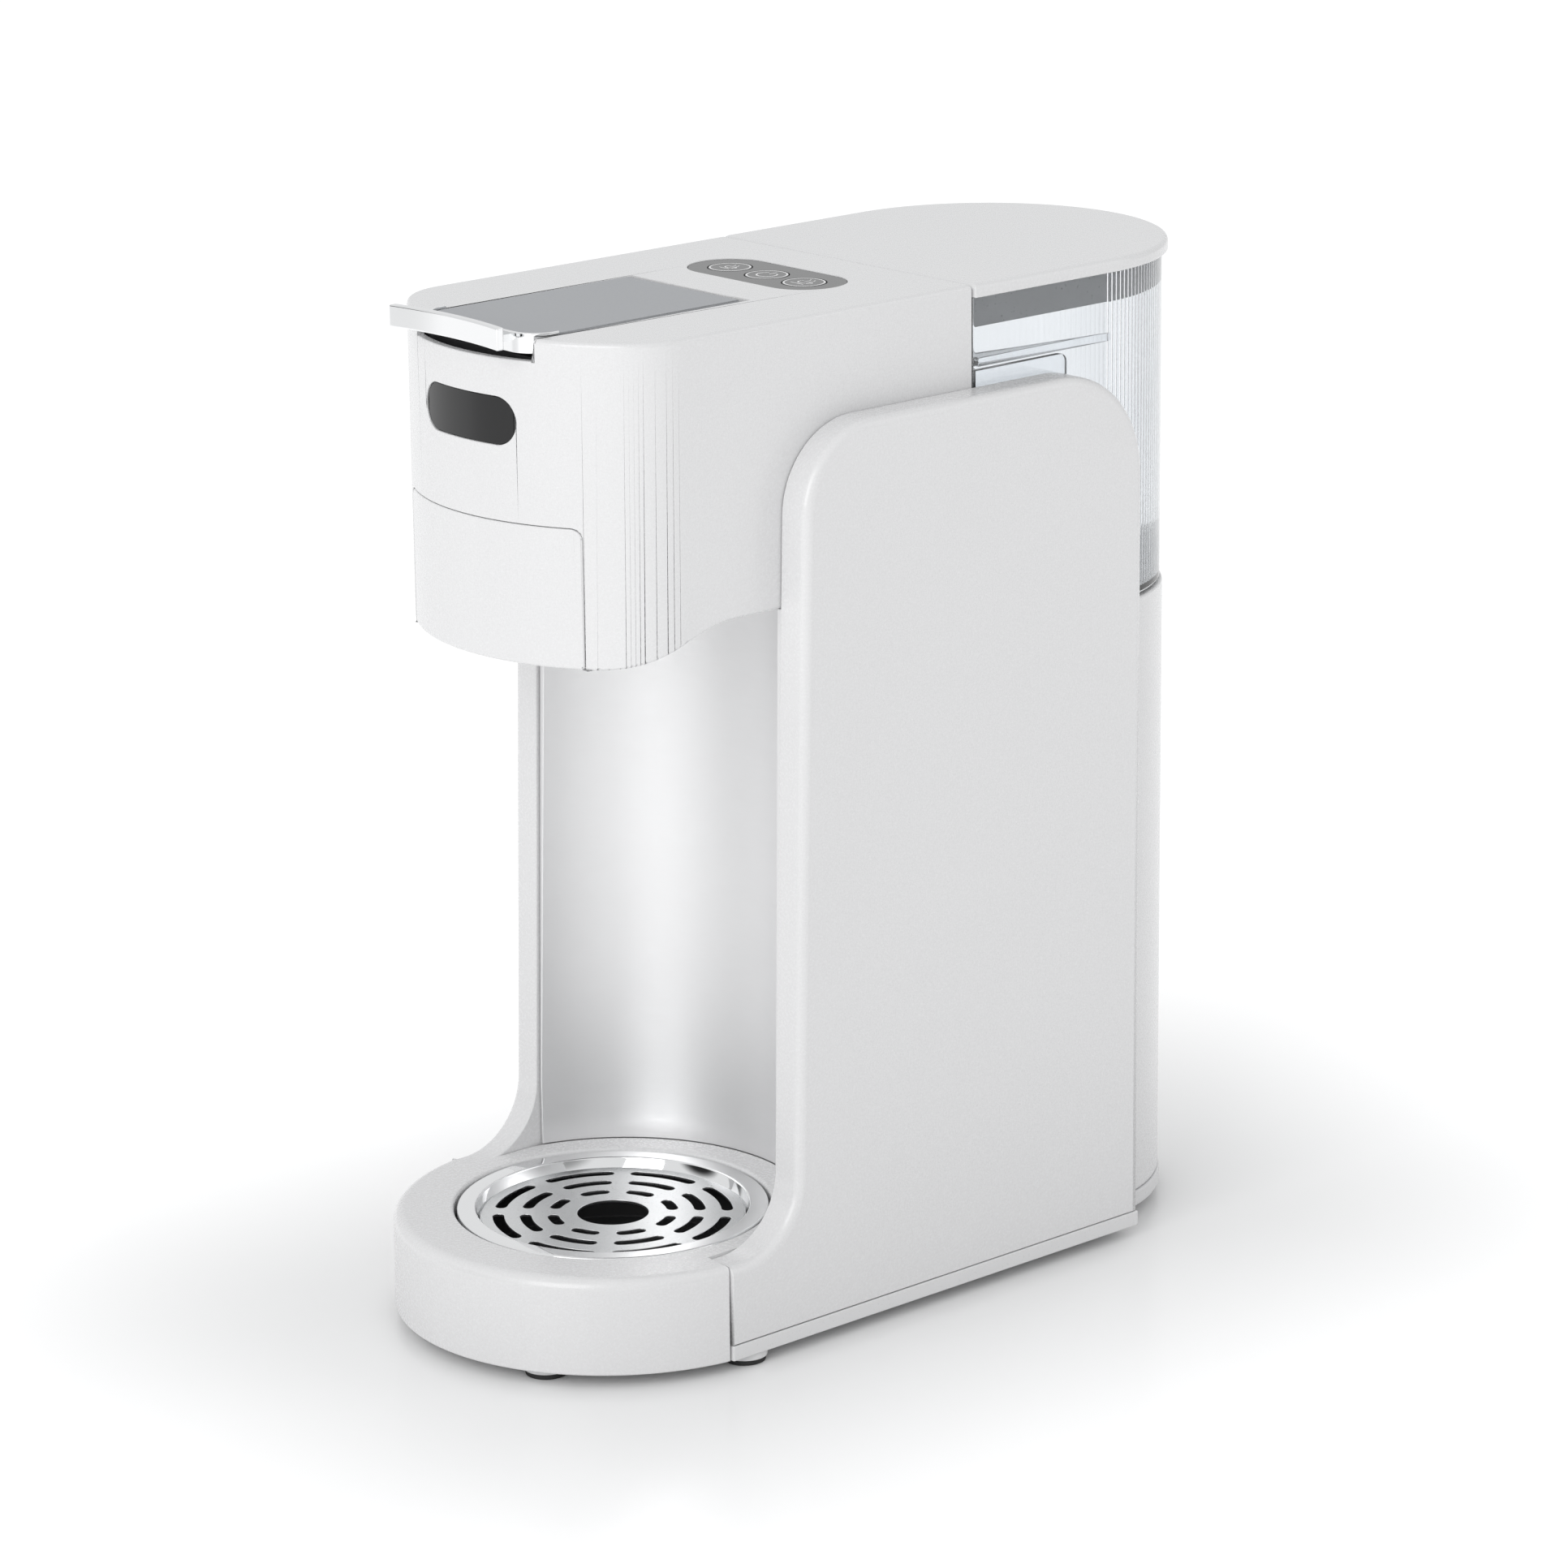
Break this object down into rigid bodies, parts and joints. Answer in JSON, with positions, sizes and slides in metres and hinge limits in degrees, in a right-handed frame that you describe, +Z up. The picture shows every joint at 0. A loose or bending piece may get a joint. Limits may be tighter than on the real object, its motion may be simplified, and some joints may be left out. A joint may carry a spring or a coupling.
{
  "type": "pod coffee machine",
  "caption": "Slim upright single-serve pod coffee machine with a rear water tank, a lifting flap with a bar handle, a concave column and a round drip tray.",
  "frame": {"origin": "on the table, in the middle of the machine's footprint box", "axes": "+Z up, front towards -Y, +X to the right of somebody looking from the front to the rear"},
  "size_m": [0.145, 0.304, 0.3434],
  "materials": {
    "white_gloss": "smooth satin-gloss white",
    "white_base": "smooth white",
    "column_silver": "satin, finely brushed",
    "chrome": "polished",
    "grill_steel": "satin stainless steel",
    "inlay_grey": "fine matt grey",
    "black_gloss": "black gloss with white printed rings and symbols",
    "tank_clear": "clear grey-tinted, ribbed inside",
    "skirt_grey": "translucent grey",
    "tray_plastic": "dark grey moulded",
    "rubber_black": "matt",
    "seal_grey": "silicone",
    "pin_steel": "turned steel",
    "dark_plastic": "moulded, fine texture",
    "cast_aluminium": "cast",
    "board_green": "solder mask",
    "tube_silicone": "milky silicone"
  },
  "bodies": {
    "housing": {"base_plate": "white_base", "base_front": "white_gloss", "side_panel_left": "white_gloss", "side_panel_right": "white_gloss", "body_shell": "white_gloss", "column_face": "column_silver", "front_feet": "white_base", "middle_feet": "white_base", "rear_feet": "white_base", "front_foot_pads": "rubber_black", "middle_foot_pads": "rubber_black", "rear_foot_pads": "rubber_black", "base_screws": "pin_steel", "cord_gland": "seal_grey", "head_shell": "white_gloss", "head_floor": "white_base", "display_window": "black_gloss", "control_panel": "black_gloss", "button_board": "board_green", "hinge_pin": "pin_steel", "brew_chamber": "dark_plastic", "pod_holder": "dark_plastic", "lower_needle": "pin_steel", "spout": "dark_plastic", "valve_seat": "dark_plastic", "pump": "dark_plastic", "pump_motor": "pin_steel", "flow_meter": "white_base", "heater": "cast_aluminium", "main_board": "board_green", "tank_tube": "tube_silicone", "pump_tube": "tube_silicone", "heater_tube": "tube_silicone", "needle_tube": "tube_silicone"},
    "flap_unit": {"flap": "white_gloss", "flap_inlay": "inlay_grey", "handle": "chrome", "brew_seal": "seal_grey", "upper_needle": "pin_steel"},
    "small_cup_key": {"button_small_cup": "black_gloss"},
    "power_key": {"button_power": "black_gloss"},
    "large_cup_key": {"button_large_cup": "black_gloss"},
    "cover": {"front_cover": "white_gloss"},
    "tray": {"drip_tray": "tray_plastic", "tray_ring": "chrome"},
    "grill_plate": {"grill": "grill_steel"},
    "tank": {"water_tank": "tank_clear"},
    "lid": {"tank_lid": "white_gloss", "lid_skirt": "skirt_grey"},
    "valve": {"valve_poppet": "seal_grey", "valve_spring": "pin_steel"}
  },
  "joints": [
    {"name": "flap_hinge", "type": "hinge", "parent": "housing", "child": "flap_unit", "pos_m": [0, -0.0457, 0.3333], "axis": [-1, 0, 0], "range_deg": [0, 80]},
    {"name": "small_cup_press", "type": "slide", "parent": "housing", "child": "small_cup_key", "axis": [0, 0, -1], "range_m": [0, 0.0008], "stiffness_N_per_m": 400},
    {"name": "power_press", "type": "slide", "parent": "housing", "child": "power_key", "axis": [0, 0, -1], "range_m": [0, 0.0008], "stiffness_N_per_m": 400},
    {"name": "large_cup_press", "type": "slide", "parent": "housing", "child": "large_cup_key", "axis": [0, 0, -1], "range_m": [0, 0.0008], "stiffness_N_per_m": 400},
    {"name": "cover_pull", "type": "slide", "parent": "housing", "child": "cover", "axis": [0, -1, 0], "range_m": [0, 0.04]},
    {"name": "tray_lift", "type": "slide", "parent": "housing", "child": "tray", "axis": [0, 0, 1], "range_m": [0, 0.05]},
    {"name": "grill_lift", "type": "slide", "parent": "tray", "child": "grill_plate", "axis": [0, 0, 1], "range_m": [0, 0.04]},
    {"name": "tank_lift", "type": "slide", "parent": "housing", "child": "tank", "axis": [0, 0, 1], "range_m": [0, 0.12]},
    {"name": "lid_lift", "type": "slide", "parent": "tank", "child": "lid", "axis": [0, 0, 1], "range_m": [0, 0.05]},
    {"name": "valve_push", "type": "slide", "parent": "tank", "child": "valve", "axis": [0, 0, 1], "range_m": [0, 0.003], "stiffness_N_per_m": 120, "deforming": ["valve_spring"]}
  ]
}
